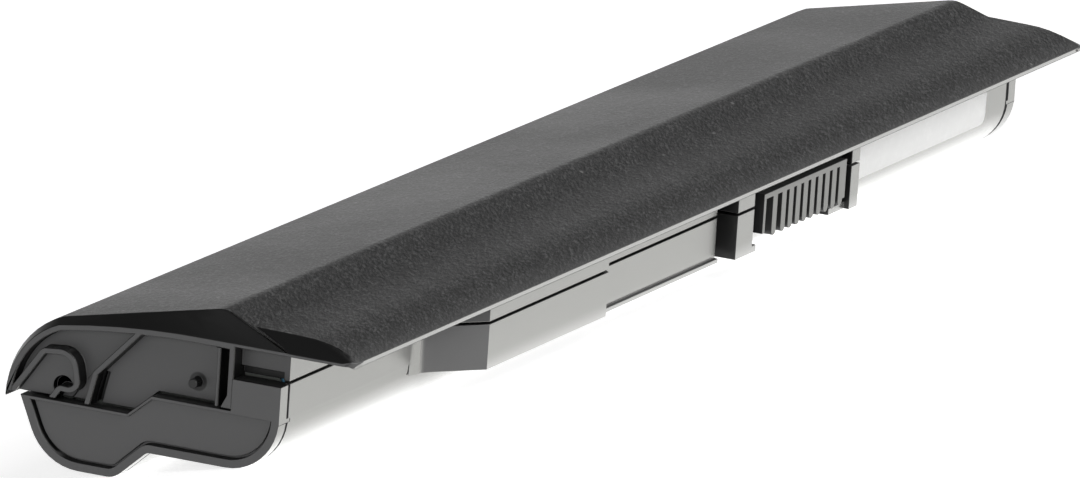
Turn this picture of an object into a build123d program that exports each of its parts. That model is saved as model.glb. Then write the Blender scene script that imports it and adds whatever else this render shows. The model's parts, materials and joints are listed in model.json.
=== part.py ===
from build123d import *
import os
from math import asin, atan2, cos, degrees, hypot, radians, sin, sqrt, tan

os.makedirs("parts", exist_ok=True)

# A six-cell laptop battery. X runs along the pack from its near end, Y from the front wall to the
# rear lip, Z is up and is zero on the seam of the front wall. The last step turns the finished
# pieces so that the pack stands on its two lobes.

# Overall, in millimetres
pack_length = 271.0
case_width = 43.31          # front wall to the rear wall's rim
wall = 1.0                  # lower case
roof_wall = 1.1             # cover
side_seam = 0.4             # open line along the front wall
end_seam = 0.25             # open line between the end plates
fit_gap = 0.15              # between pieces that only slide together

# Cells
cell_diameter = 18.4        # over the sleeve
cell_length = 65.0
cell_clearance = 0.2
cell_cap_height = 0.9
cell_cap_diameter = 6.6
cell_crimp_height = 3.0     # below the rim, where the can is rolled in
cell_crimp_depth = 0.5

# Lower case section
front_depth = 13.9          # floor of the front lobe below the seam
rear_depth = 18.7           # floor of the rear lobe below the seam
lobe_round = 8.5            # front lobe's lower corner
rear_floor = 12.03          # flat of the rear lobe's floor
step_run = 5.2              # run of the step from the front floor to the rear one
step_round = 3.5
valley_round = 1.2
rear_lean = 23.6            # lean of the rear wall, degrees
rear_round = 8.9
rear_rim_drop = 8.45        # rim of the rear wall below the seam

# Cover section
overhang = 11.89            # front ledge beyond the front wall
ledge_arc = 9.85            # part of the ledge that falls in an arc to its free edge
edge_drop = 2.34            # fall of that arc
ledge_height = 7.69         # flat of the ledge above the seam
kink_y = 5.31               # end of the flat, foot of the slope
crest_y = 10.91
crest_height = 9.79
crest_round = 4.5
roll_radius = 14.1          # round down to the rear lip
roll_sweep = 68.2           # degrees of that round
lip_gap = 2.3               # rear wall to the inside of the lip
lip_overlap = 0.58          # lip below the rear wall's rim
ledge_corner = 2.5          # rounding of the ledge's corners in plan
bevel_run = 2.0             # length of the slanted end faces
bevel_foot = 5.15           # height of their foot on the end plane
roll_bevel = 0.9            # the same bevel round the rear roll

# Ends
cover_end_depth = 4.3       # end plane to the inside of the cover's end plate
cover_plate_depth = 2.5     # end plane to the outside of that plate
tub_end_depth = 2.6         # end plane to the inside of the tub's end wall
tub_panel_depth = 0.7
tub_panel_border = 1.3
tub_panel_top = 0.5         # the same border along the end seam
tub_panel_line = 0.4        # narrow groove round the panel
tub_panel_line_depth = 1.4
rim_thickness = 0.9
rib_thickness = 0.8
end_flange_depth = 3.0      # flange under the roof's end, across the notch
end_flange_fall = 0.45      # its underside below the bevel's foot
notch_depth = 2.8           # cut-back of the front corner at the near end
notch_back = 3.7            # end plane to the back of the slot under that cut-back
notch_gap = 1.4             # open slot between the notch's plate and the block below it
end_post_y = 8.11           # outer face of the upright rib beside the notch
split_high = 5.1            # front part of the end seam, below the side seam
split_lead = 0.25           # its step starts before the step of the floor
split_step_run = 3.85
groove_width = 0.6
groove_depth = 0.6
crest_foot_y = 9.46
crest_end_y = 12.36
bevel_knee = (4.7, 13.55)   # point of the bevel's foot line before and above the roll's centre
hook_line = [               # hook's middle line beyond and above the roll's centre
    (12.3, 0.7), (7.3, 7.85), (2.3, 8.3), (1.05, 2.4), (4.3, 2.55), (5.6, 0.7),
]
hook_rounds = [1.0, 2.6, 1.5, 0.7]
hook_wall = 0.9
hook_proud = 0.1
hook_floor_depth = 1.5
hook_pocket = 1.6           # small open pocket inside the tail's turn
slot_width = 1.5            # open slot round the hook
slot_depth = 1.3
rib_slot_width = 0.9        # open slot along the lower leg of the diagonal rib
post_slot_width = 1.5       # narrow deep slot beside the upright rib
post_rib_thickness = 0.5    # thin rib on its other side
post_foot = 1.0
post_foot_rise = 2.0
diagonal_rib = [(-0.3, 0.2), (-1.6, 5.8), (-8.9, 13.6)]     # from the roll's centre
pin_place = (14.96, -2.21)
pin_diameter = 1.5
pin_length = 1.9

# Nose rail: the keyed block, the recessed wall and the connector bay along the front wall
rail_depth = 7.33           # underside below the seam
block_reach = 7.55          # proud of the front wall
block_start = 46.7
block_ramp = 8.8
ramp_round = 8.0            # hollow round from the front wall into the ramp
block_end = 97.6
recess_reach = 5.9
recess_ledge = 0.6          # low step along the recessed wall's foot
recess_ledge_height = 0.7
recess_slot = 3.4           # open slot between the recessed wall and the housing
housing_reach = 7.95
housing_length = 6.2
bay_length = 37.0
bay_shift = 0.5             # bay's middle beyond the middle between the cells
post_width = 3.2
slot_floor_reach = 3.2      # wall between the recessed wall and the housing
foot_height = 1.1           # feet at the foot of the bay, under the comb's ends
near_foot = 1.4
far_foot = 6.0
far_foot_setback = 0.9

# Inside of the tub
cradle_thickness = 1.2
cradle_shares = (0.2, 0.8)  # along each cell
tongue_height = 1.2         # tongue behind the front seam, above it
tongue_root = 0.3           # its root on the wall, below the seam
tongue_thickness = 0.4
end_block_depth = 3.6       # block beside the notch
end_back = 0.6
far_groove_width = 1.0

# Connector
comb_ribs = 9
comb_pitch = 2.74
comb_rib_width = 1.7
guide_rib_space = 3.4       # from the comb's first rib to the guide rib beside it
connector_length = 31.4
connector_inset = 3.6       # bay wall to the connector
connector_top = 1.45
connector_bottom = 5.0
comb_drop = 0.95            # ribs below the body
comb_reach = 1.35           # ribs proud of the body
frame_bar = 0.9
connector_back = 2.4        # body behind the inside of the front wall
contact_thickness = 0.4
comb_root = 1.6             # ribs' lower ends behind the body's front
blade_slot = 0.8
blade_depth = 3.4
blade_setback = 0.5
tail_slot = 0.5
tail_height = 0.5
tail_reach = 1.8            # tails over the board

# Board
board_top = -2.0
board_thickness = 1.0
board_back_gap = 2.6        # to the rear wall's rim, in plan
board_gap = 2.2             # to the strips at both ends of the bay
board_edge_gap = 0.2        # to the connector
board_post = 4.4
board_pin = 1.9
board_post_inset = 4.0      # from the board's ends
board_post_front = 4.4      # from the board's front edge
board_post_back = 5.8       # from its back edge
package_lift = 0.1
package_lead = 1.0
lead_pitch = 1.27
lead_width = 0.5
chip_bevel = 0.15
capacitor = (1.6, 0.9, 0.8)

# Links, leads and small pieces
strip_thickness = 0.2
strip_half_width = 3.4
strip_fold = 0.4            # room inside the folded link
tab_width = 4.0
card_thickness = 0.3
card_margin = 0.4
card_waist = 12.0
strip_fold_width = 8.0
band_width = 6.0            # flat band of the bay strips
cutoff_size = (12.0, 5.0, 2.2)
cutoff_overlap = 3.0        # of the cutoff on each band
cutoff_bevel = 0.4
power_lead_diameter = 1.6
sense_lead_diameter = 1.0
thermistor_diameter = 2.4
thermistor_length = 4.5
lead_on_board = 6.0         # each lead's end from the board's edge
thermistor_reach = 16.0     # along its cell
pad_length = 50.0
pad_width = 5.0
pad_gap = 0.05
label_thickness = 0.15
label_near_gap = 7.3        # from the connector bay
label_far_gap = 12.3        # from the far end
label_top = 0.6             # below the seam
label_bottom = 7.8
label_corner = 1.0

# Worked out from these
cell_radius = cell_diameter / 2
cell_room = wall + cell_clearance + cell_radius
front_cell = (cell_room, cell_room - front_depth)
rear_cell_z = cell_room - rear_depth
rear_cell = (
    case_width + (rear_cell_z + rear_rim_drop) * tan(radians(rear_lean))
    - cell_room / cos(radians(rear_lean)),
    rear_cell_z,
)
row_gap = hypot(rear_cell[0] - front_cell[0], rear_cell[1] - front_cell[1])
row_angle = degrees(atan2(rear_cell[1] - front_cell[1], rear_cell[0] - front_cell[0]))
row_middle = ((front_cell[0] + rear_cell[0]) / 2, (front_cell[1] + rear_cell[1]) / 2)
rear_foot_y = case_width - (rear_depth - rear_rim_drop) * tan(radians(rear_lean))
step_y = rear_foot_y - rear_floor - step_run
split_step_y = step_y - split_lead
split_low = rear_rim_drop
lip_y = case_width + lip_gap + roof_wall
lip_z = -rear_rim_drop - lip_overlap
roll_y = lip_y - roll_radius
ledge_arc_end = ledge_arc - overhang
edge_radius = (ledge_arc**2 + edge_drop**2) / (2 * edge_drop)
edge_sweep = degrees(asin(ledge_arc / edge_radius))
mid_plane = Plane.YZ.offset(pack_length / 2)
beyond = 30.0               # outside every section
first_cell = cover_end_depth + card_thickness + strip_thickness
cell_starts = (
    first_cell,
    first_cell + cell_length + 2 * strip_thickness + strip_fold,
    pack_length - first_cell - cell_length,
)
bay_cells = (cell_starts[1] + cell_length, cell_starts[2])
between_cells = (bay_cells[0] + bay_cells[1]) / 2
bay_start = between_cells + bay_shift - bay_length / 2
bay_end = bay_start + bay_length
housing_start = bay_start - housing_length
recess_end = housing_start - recess_slot
connector_start = bay_start + connector_inset
connector_end = connector_start + connector_length
body_front = -housing_reach + comb_reach
bar_top = connector_top - frame_bar
comb_places = [connector_end - frame_bar - comb_rib_width / 2 - comb_pitch * k for k in range(comb_ribs)]
comb_places.append(comb_places[-1] - guide_rib_space)
contact_places = [(right + left) / 2 for right, left in zip(comb_places, comb_places[1:])]
board_start = bay_cells[0] + strip_thickness + board_gap
board_end = bay_cells[1] - strip_thickness - board_gap
board_front = wall + connector_back + board_edge_gap
board_back = case_width - board_back_gap
board_post_rows = (board_front + board_post_front, board_back - board_post_back)
board_post_places = [
    (x, y) for x in (board_start + board_post_inset, board_end - board_post_inset) for y in board_post_rows
]
label_start = bay_end + label_near_gap
label_length = pack_length - label_far_gap - label_start

# Packages with leads on the board: name, centre from the board's middle, then length, width and height
lead_packages = [
    ("gauge_chip", (3.0, 24.3), (9.7, 5.3, 1.4)),
    ("protector_chip", (7.4, 12.0), (6.2, 4.4, 1.0)),
    ("charge_transistor", (-7.5, 11.5), (5.0, 4.0, 1.4)),
    ("discharge_transistor", (0.2, 11.5), (5.0, 4.0, 1.4)),
]
plain_chips = [
    ("sense_resistor", (-4.0, 33.0), (6.3, 3.2, 0.8)),
    ("board_fuse", (4.5, 33.0), (5.0, 3.4, 1.1)),
]
capacitor_places = [(-7.0, 22.5), (-7.0, 27.0), (-4.2, 22.5), (-4.2, 27.0), (-4.0, 16.8), (-1.0, 16.8)]


def on_roll(radius):
    """Point where a round of this radius about the roll's centre meets the sloping roof."""
    sweep = radians(roll_sweep)
    return (roll_y + radius * cos(sweep), lip_z + radius * sin(sweep))


def roof_line():
    """The cover's outer line, from the ledge's free edge over the crest to the lip."""
    CenterArc((ledge_arc_end, ledge_height - edge_radius), edge_radius, 90 + edge_sweep, -edge_sweep)
    FilletPolyline(
        (ledge_arc_end, ledge_height), (kink_y, ledge_height), (crest_y, crest_height), on_roll(roll_radius),
        radius=[0, crest_round],
    )
    CenterArc((roll_y, lip_z), roll_radius, roll_sweep, -roll_sweep)


def under_roof(start, length):
    """Solid of all that lies under the cover's outer surface."""
    with BuildPart() as solid:
        with BuildSketch(Plane.YZ.offset(start)):
            with BuildLine():
                roof_line()
                Polyline(
                    (lip_y, lip_z), (lip_y, -beyond), (-overhang, -beyond),
                    (-overhang, ledge_height - edge_drop),
                )
            make_face()
        extrude(amount=length)
    return solid.part


def case_region(inset=0.0):
    """Section of the case: front wall, two lobes round the cell rows, leaning rear wall."""
    lean_rise = (beyond + rear_rim_drop) * tan(radians(rear_lean))
    with BuildSketch(Plane.YZ) as region:
        with BuildLine():
            Line((0, beyond), (0, lobe_round - front_depth))
            CenterArc((lobe_round, lobe_round - front_depth), lobe_round, 180, 90)
            FilletPolyline(
                (lobe_round, -front_depth), (step_y, -front_depth), (step_y + step_run, -rear_depth),
                (rear_foot_y, -rear_depth), (case_width + lean_rise, beyond),
                radius=[valley_round, step_round, rear_round],
            )
            Line((case_width + lean_rise, beyond), (0, beyond))
        make_face()
        if inset != 0:
            offset(amount=-inset, kind=Kind.INTERSECTION)
    return region.sketch_local


def split_region(drop):
    """All that lies below the end seam, lowered by drop."""
    with BuildSketch(Plane.YZ) as region:
        with BuildLine():
            Polyline(
                (-beyond, -split_high - drop), (split_step_y, -split_high - drop),
                (split_step_y + split_step_run, -split_low - drop), (2 * beyond, -split_low - drop),
                (2 * beyond, -beyond), (-beyond, -beyond), close=True,
            )
        make_face()
    return region.sketch_local


def rail_plan(inset=0.0):
    """Plan of the nose rail's long chamber: ramp, block, recessed wall, slot and housing."""
    ramp_slope = block_ramp / block_reach
    housing_end = housing_start + housing_length
    with BuildSketch() as plan:
        with BuildLine():
            Polyline(
                (block_start - wall * ramp_slope, wall), (block_start + block_ramp, -block_reach),
                (block_end, -block_reach), (block_end + block_reach - recess_reach, -recess_reach),
                (recess_end, -recess_reach), (recess_end, -slot_floor_reach),
                (housing_start, -slot_floor_reach), (housing_start, -housing_reach),
                (housing_end, -housing_reach), (housing_end, wall), close=True,
            )
        make_face()
        if inset > 0:
            offset(amount=-inset, kind=Kind.INTERSECTION)
        else:
            # Hollow round between the front wall and the ramp
            ramp_angle = atan2(block_reach, block_ramp)
            touch = ramp_round * tan(ramp_angle / 2)
            round_end = (block_start + touch * cos(ramp_angle), -touch * sin(ramp_angle))
            with BuildLine():
                CenterArc((block_start - touch, -ramp_round), ramp_round, 90, -degrees(ramp_angle))
                Polyline(round_end, (block_start, 0), (block_start - touch, 0))
            make_face()
    return plan.sketch


def post_plan(inset=0.0):
    """Plan of the post that closes the connector bay."""
    with BuildSketch() as plan:
        with Locations((bay_end + post_width / 2, (wall - housing_reach) / 2)):
            Rectangle(post_width - 2 * inset, housing_reach + wall - 2 * inset)
    return plan.sketch


def link_leaf(x):
    """Nickel leaf over the two cells of a pair."""
    with BuildPart() as leaf:
        with BuildSketch(Plane.YZ.offset(x)):
            with Locations(row_middle):
                SlotCenterToCenter(row_gap, 2 * strip_half_width, rotation=row_angle)
        extrude(amount=strip_thickness)
    return leaf.part


def link_tab(x, place):
    """Tab that rises from a leaf to a lead's end at place."""
    foot_z = front_cell[1] + (place[0] - front_cell[0]) * tan(radians(row_angle))
    top_z = place[1] + tab_width / 2
    with BuildPart() as tab:
        with BuildSketch(Plane.YZ.offset(x)):
            with Locations((place[0], (foot_z + top_z) / 2)):
                Rectangle(tab_width, top_z - foot_z)
        extrude(amount=strip_thickness)
    return tab.part


def along_pack(place, diameter, start, end):
    """Round lead or pin of this diameter from start to end at one place of the section."""
    with BuildPart() as rod:
        with BuildSketch(Plane.YZ.offset(start)):
            with Locations(place):
                Circle(diameter / 2)
        extrude(amount=end - start)
    return rod.part


def box_between(low, high):
    """Box from its lowest to its highest corner."""
    size = [top - bottom for bottom, top in zip(low, high)]
    with BuildPart() as block:
        with Locations(low):
            Box(*size, align=Align.MIN)
    return block.part


def roof_underside(y):
    """Height of the roof's inside over y, on the slope or on the long facet."""
    foot, head = ((kink_y, ledge_height), (crest_y, crest_height))
    if y > crest_y:
        foot, head = (crest_y, crest_height), on_roll(roll_radius)
    slope = (head[1] - foot[1]) / (head[0] - foot[0])
    return foot[1] + (y - foot[0]) * slope - roof_wall * sqrt(1 + slope**2)


def beside_cell(centre, radius, side, foot_radius=None):
    """Place of a round lead that touches a cell at fit_gap and clears the board by the same."""
    z = board_top + fit_gap + (foot_radius or radius)
    reach = cell_radius + fit_gap + radius
    return (centre[0] + side * sqrt(reach**2 - (z - centre[1]) ** 2), z)


# Nose rail walls of the cover, trimmed under the roof
with BuildPart() as rail_walls:
    with BuildSketch():
        add(rail_plan())
        add(post_plan())
    extrude(amount=beyond)
    with BuildSketch():
        add(rail_plan(wall))
        add(post_plan(wall))
    extrude(amount=beyond, mode=Mode.SUBTRACT)
    add(under_roof(0, pack_length), mode=Mode.INTERSECT)
    add(box_between((0, -beyond, 0), (pack_length, beyond, side_seam / 2)), mode=Mode.SUBTRACT)

# Near end of the cover: plate, rim, hook with its slot, diagonal rib, pin and upright rib
with BuildPart() as cover_end:
    with BuildSketch(Plane.YZ):
        with Locations((end_post_y, lip_z)):
            Rectangle(beyond * 2, beyond * 2, align=(Align.MIN, Align.CENTER))
        add(split_region(-end_seam), mode=Mode.SUBTRACT)
    extrude(amount=cover_end_depth)
    # Plate behind the notch at the front corner, and the flange over the notch
    notch_plate_end = (cover_end_depth, end_post_y + rib_thickness / 2, beyond)
    add(box_between((notch_depth, 0, notch_gap), notch_plate_end))
    add(box_between((notch_back, 0, side_seam / 2), notch_plate_end))
    flange_low = (0, -overhang, bevel_foot - end_flange_fall)
    add(box_between(flange_low, (end_flange_depth, end_post_y + rib_thickness / 2, beyond)))
    add(under_roof(0, cover_end_depth), mode=Mode.INTERSECT)
    with BuildSketch(Plane.YZ):
        with BuildLine():
            rim_height = bevel_foot - rim_thickness
            roll_inner = roll_radius - roll_bevel - rim_thickness
            Line((end_post_y + rib_thickness, -beyond), (end_post_y + rib_thickness, rim_height))
            Line((end_post_y + rib_thickness, rim_height), (crest_y, rim_height))
            knee = (roll_y - bevel_knee[0], lip_z + bevel_knee[1] - rim_thickness)
            ThreePointArc((crest_y, rim_height), knee, on_roll(roll_inner))
            CenterArc((roll_y, lip_z), roll_inner, roll_sweep, -roll_sweep)
            Polyline(
                (roll_y + roll_inner, lip_z), (roll_y + roll_inner, -beyond),
                (end_post_y + rib_thickness, -beyond),
            )
        make_face()
    extrude(amount=cover_plate_depth, mode=Mode.SUBTRACT)
    # Open slot round the hook, deeper than the plate
    hook_points = [(roll_y + y, lip_z + z) for y, z in hook_line]
    with BuildSketch(Plane.YZ.offset(cover_plate_depth)):
        with BuildLine():
            FilletPolyline(*hook_points[1:], radius=hook_rounds[1:])
        trace(line_width=hook_wall + 2 * slot_width)
        add(split_region(-end_seam), mode=Mode.SUBTRACT)
    extrude(amount=slot_depth, mode=Mode.SUBTRACT)
    # Hook: arm, curl and tail as one thin wall, round a raised floor
    with BuildSketch(Plane.YZ.offset(hook_proud)):
        with BuildLine():
            FilletPolyline(*hook_points, radius=hook_rounds)
        trace(line_width=hook_wall)
        add(split_region(-end_seam), mode=Mode.SUBTRACT)
    extrude(amount=cover_plate_depth + slot_depth - hook_proud)
    with BuildSketch(Plane.YZ.offset(hook_floor_depth)):
        with BuildLine():
            FilletPolyline(*hook_points, radius=hook_rounds)
            Line(hook_points[-1], hook_points[0])
        make_face()
        with Locations(hook_points[-2]):
            Circle(hook_pocket, mode=Mode.SUBTRACT)
        add(split_region(-end_seam), mode=Mode.SUBTRACT)
    extrude(amount=cover_plate_depth + slot_depth - hook_floor_depth)
    # Diagonal rib, with a slot along its lower leg
    rib_points = [(roll_y + y, lip_z + z) for y, z in diagonal_rib]
    rib_slot_shift = (rib_thickness + rib_slot_width) / 2
    with BuildSketch(Plane.YZ.offset(cover_plate_depth)):
        with BuildLine():
            Line(*[(y - rib_slot_shift, z) for y, z in rib_points[:2]])
        trace(line_width=rib_slot_width)
        add(split_region(-end_seam), mode=Mode.SUBTRACT)
    extrude(amount=slot_depth, mode=Mode.SUBTRACT)
    with BuildSketch(Plane.YZ):
        with BuildLine():
            Polyline(*rib_points)
        trace(line_width=rib_thickness)
        add(split_region(-end_seam), mode=Mode.SUBTRACT)
    extrude(amount=cover_plate_depth)
    # Thin rib with a deep slot between it and the upright rib, the slot's foot, and the pin
    post_slot_start = end_post_y + rib_thickness
    post_slot_end = post_slot_start + post_slot_width
    split_line = -split_high + end_seam
    rib_low = (hook_proud, post_slot_end, split_line)
    add(box_between(rib_low, (cover_plate_depth, post_slot_end + post_rib_thickness, bevel_foot)))
    slot_low = (cover_plate_depth, post_slot_start, split_line)
    slot_high = (cover_plate_depth + slot_depth, post_slot_end, bevel_foot - rim_thickness)
    add(box_between(slot_low, slot_high), mode=Mode.SUBTRACT)
    with BuildSketch(Plane.YZ):
        with BuildLine():
            Polyline(
                (post_slot_start, split_line), (post_slot_start + post_foot, split_line),
                (post_slot_start, split_line + post_foot_rise), close=True,
            )
        make_face()
    extrude(amount=cover_plate_depth + slot_depth)
    with BuildSketch(Plane.YZ.offset(cover_plate_depth - pin_length)):
        with Locations(pin_place):
            Circle(pin_diameter / 2)
    extrude(amount=pin_length)

# Wedges that bevel the ends of the roof
with BuildPart() as end_bevel:
    with BuildSketch(Plane.YZ):
        with BuildLine():
            ledge_foot = (-overhang, bevel_foot)
            foot_line = [(y, bevel_foot) for y in (ledge_arc_end, kink_y, crest_foot_y, crest_end_y)]
            Polyline(ledge_foot, *foot_line)
            foot_knee = (roll_y - bevel_knee[0], lip_z + bevel_knee[1])
            ThreePointArc((crest_end_y, bevel_foot), foot_knee, on_roll(roll_radius - roll_bevel))
            CenterArc((roll_y, lip_z), roll_radius - roll_bevel, roll_sweep, -roll_sweep)
            Polyline(
                (lip_y - roll_bevel, lip_z), (beyond * 2, lip_z), (beyond * 2, beyond),
                (-overhang, beyond), ledge_foot,
            )
        make_face()
    with BuildSketch(Plane.YZ.offset(bevel_run)):
        with BuildLine():
            roof_line()
            Polyline(
                (lip_y, lip_z), (beyond * 2, lip_z), (beyond * 2, beyond), (-overhang, beyond),
                (-overhang, ledge_height - edge_drop),
            )
        make_face()
    loft(ruled=True)

with BuildPart() as top_cover:
    # Roof of even wall, from the ledge's free edge to the lip
    with BuildSketch(Plane.YZ):
        with BuildLine():
            roof_line()
            offset(amount=roof_wall, side=Side.RIGHT)
        make_face()
    extrude(amount=pack_length)
    # Front skirt, with room for the connector
    skirt_low = (notch_depth, 0, side_seam / 2)
    add(box_between(skirt_low, (pack_length - notch_depth, wall, ledge_height - roof_wall / 2)))
    add(rail_walls.part)
    opening_low = (connector_start - fit_gap, -beyond, -beyond)
    opening_high = (connector_end + fit_gap, wall, connector_top + fit_gap)
    add(box_between(opening_low, opening_high), mode=Mode.SUBTRACT)
    # Inner shelf that carries the lip over the rear wall's rim
    shelf_low = (cover_end_depth / 2, rear_cell[0] + cell_radius + cell_clearance, -rear_rim_drop + end_seam)
    shelf_high = (pack_length - cover_end_depth / 2, lip_y - roof_wall / 2, -rear_rim_drop + end_seam + wall)
    add(box_between(shelf_low, shelf_high))
    add(cover_end.part)
    add(mirror(cover_end.part, about=mid_plane))
    add(end_bevel.part, mode=Mode.SUBTRACT)
    add(mirror(end_bevel.part, about=mid_plane), mode=Mode.SUBTRACT)
    # Rounded corners of the ledge, in plan
    with BuildSketch(Plane.XY.offset(-beyond)):
        with Locations((0, -overhang - fit_gap)):
            Rectangle(pack_length, overhang + fit_gap + lip_y, align=Align.MIN)
        fillet(vertices().group_by(Axis.Y)[0], ledge_corner)
    extrude(amount=2 * beyond, mode=Mode.INTERSECT)
top_cover.part.label = "top_cover"

# Cradles and posts inside the tub, trimmed to its wall
with BuildPart() as tub_core:
    with BuildSketch(Plane.YZ):
        add(case_region(wall / 2))
    extrude(amount=pack_length)

with BuildPart() as cradles:
    for row_start in cell_starts:
        for share in cradle_shares:
            with BuildSketch(Plane.YZ.offset(row_start + share * cell_length - cradle_thickness / 2)):
                add(case_region(wall / 2))
                with Locations((row_middle[0], -rear_rim_drop)):
                    Rectangle(2 * beyond, 2 * beyond, align=(Align.CENTER, Align.MAX), mode=Mode.INTERSECT)
                with Locations(front_cell, rear_cell):
                    Circle(cell_radius + cell_clearance / 2, mode=Mode.SUBTRACT)
            extrude(amount=cradle_thickness)

with BuildPart() as board_posts:
    with BuildSketch(Plane.XY.offset(board_top - board_thickness)):
        with Locations(*board_post_places):
            Circle(board_post / 2)
    extrude(amount=-beyond)
    add(tub_core.part, mode=Mode.INTERSECT)
    with BuildSketch(Plane.XY.offset(board_top - board_thickness)):
        with Locations(*board_post_places):
            Circle(board_pin / 2)
    extrude(amount=board_thickness + board_pin / 2)

with BuildPart() as lower_case:
    with BuildSketch(Plane.YZ):
        add(case_region())
        add(split_region(0), mode=Mode.INTERSECT)
    extrude(amount=pack_length)
    # Front wall up to the seam, and the nose rail below it
    front_wall_start = notch_depth + groove_width / 2
    with BuildSketch(Plane.YZ.offset(front_wall_start)):
        add(case_region())
        front_box = (2 * lobe_round, split_high + wall)
        with Locations((0, -side_seam / 2)):
            Rectangle(*front_box, align=(Align.CENTER, Align.MAX), mode=Mode.INTERSECT)
    extrude(amount=pack_length - notch_depth - far_groove_width - front_wall_start)
    with BuildSketch(Plane.XY.offset(-rail_depth)):
        add(rail_plan())
        add(post_plan())
    extrude(amount=rail_depth - side_seam / 2)
    with BuildSketch(Plane.XY.offset(-rail_depth + wall)):
        add(rail_plan(wall))
        add(post_plan(wall))
    extrude(amount=beyond, mode=Mode.SUBTRACT)
    # Ledge along the foot of the recessed wall
    ledge_low = (block_end, -recess_reach - recess_ledge, -rail_depth)
    add(box_between(ledge_low, (recess_end, -recess_reach + wall / 2, -rail_depth + recess_ledge_height)))
    # Room for the cells
    with BuildSketch(Plane.YZ.offset(tub_end_depth)):
        add(case_region(wall))
    extrude(amount=pack_length - 2 * tub_end_depth, mode=Mode.SUBTRACT)
    # Tongue behind the front seam
    tongue_end = pack_length - cover_end_depth
    tongue_y = wall + fit_gap
    tongue_low = -side_seam / 2 - tongue_root
    tongue_back = tongue_y + tongue_thickness
    add(box_between((cover_end_depth, tongue_y, tongue_low), (tongue_end, tongue_back, tongue_height)))
    add(box_between((cover_end_depth, wall / 2, tongue_low), (tongue_end, tongue_back, -side_seam / 2)))
    add(cradles.part)
    add(board_posts.part)
    # Feet at the bottom of the connector bay
    foot_top = -rail_depth + foot_height
    near_foot_low = (bay_start - wall / 2, -housing_reach, -rail_depth)
    add(box_between(near_foot_low, (bay_start + near_foot, wall / 2, foot_top)))
    far_foot_low = (bay_end - far_foot, -housing_reach + far_foot_setback, -rail_depth)
    add(box_between(far_foot_low, (bay_end + wall / 2, wall / 2, foot_top)))
    # Window for the connector
    window_low = (connector_start - fit_gap, -fit_gap, -connector_bottom - fit_gap)
    add(box_between(window_low, (connector_end + fit_gap, 3 * wall, beyond)), mode=Mode.SUBTRACT)
    near_and_far = (
        (0, notch_depth - groove_width / 2, groove_width),
        (pack_length, pack_length - notch_depth - far_groove_width, far_groove_width),
    )
    for face_x, groove_x, groove in near_and_far:
        inward = 1 if face_x == 0 else -1
        # Block on the end wall beside the notch, flush with the front wall and up to the seam
        end_block = box_between((0, 0, -split_high - wall), (end_block_depth, end_post_y, -side_seam / 2))
        add(end_block if face_x == 0 else mirror(end_block, about=mid_plane))
        # Sunk panel in the end wall
        with BuildSketch(Plane.YZ.offset(face_x)):
            add(case_region(tub_panel_border))
            add(split_region(tub_panel_top), mode=Mode.INTERSECT)
        extrude(amount=inward * tub_panel_depth, mode=Mode.SUBTRACT)
        with BuildSketch(Plane.YZ.offset(face_x)):
            add(case_region(tub_panel_border))
            add(case_region(tub_panel_border + tub_panel_line), mode=Mode.SUBTRACT)
            add(split_region(tub_panel_top), mode=Mode.INTERSECT)
        extrude(amount=inward * tub_panel_line_depth, mode=Mode.SUBTRACT)
        # Groove round the tub behind the end wall
        with BuildSketch(Plane.YZ.offset(groove_x)):
            add(case_region())
            add(case_region(groove_depth), mode=Mode.SUBTRACT)
            add(split_region(-split_high - beyond), mode=Mode.INTERSECT)
        extrude(amount=groove, mode=Mode.SUBTRACT)
lower_case.part.label = "lower_case"

# Connector: a body behind a frame and a comb of round-ended ribs, with a slot for each blade
with BuildPart() as comb:
    rib_low = connector_bottom + comb_drop
    with BuildSketch(Plane.XZ.offset(housing_reach)):
        with Locations(*[(x, (bar_top + comb_rib_width / 2 - rib_low) / 2) for x in comb_places]):
            SlotOverall(rib_low + bar_top + comb_rib_width / 2, comb_rib_width, rotation=90)
    extrude(amount=-comb_reach - comb_root)

with BuildPart() as connector_housing:
    body_low = (connector_start, body_front, -connector_bottom)
    add(box_between(body_low, (connector_end, wall + connector_back, connector_top)))
    frame_bars = [
        (connector_start, bar_top, connector_end, connector_top),
        (connector_start, -connector_bottom, connector_start + frame_bar, connector_top),
        (connector_end - frame_bar, -connector_bottom, connector_end, connector_top),
    ]
    for left, low, right, high in frame_bars:
        add(box_between((left, -housing_reach, low), (right, body_front, high)))
    add(comb.part)
    # Blade slots, open in front and below, and the narrow ways of their tails
    for x in contact_places:
        slot_low = (x - blade_slot / 2, -beyond, -beyond)
        slot_high = (x + blade_slot / 2, body_front + blade_depth, bar_top - frame_bar / 2)
        add(box_between(slot_low, slot_high), mode=Mode.SUBTRACT)
        tail_low = (x - tail_slot / 2, body_front, board_top - fit_gap)
        tail_high = (x + tail_slot / 2, beyond, board_top + tail_height + fit_gap)
        add(box_between(tail_low, tail_high), mode=Mode.SUBTRACT)
connector_housing.part.label = "connector_housing"

pieces = [top_cover.part, lower_case.part, connector_housing.part]

# Contact blades, each with the tail that is soldered to the board
for number, x in enumerate(contact_places, start=1):
    with BuildPart() as contact:
        left, right = x - contact_thickness / 2, x + contact_thickness / 2
        blade_front = body_front + blade_setback
        blade_low = (left, blade_front, -connector_bottom + blade_setback)
        add(box_between(blade_low, (right, body_front + blade_depth, bar_top - frame_bar)))
        tail_high = (right, board_front + tail_reach, board_top + tail_height)
        add(box_between((left, blade_front, board_top), tail_high))
    contact.part.label = f"contact_{number}"
    pieces.append(contact.part)

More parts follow.
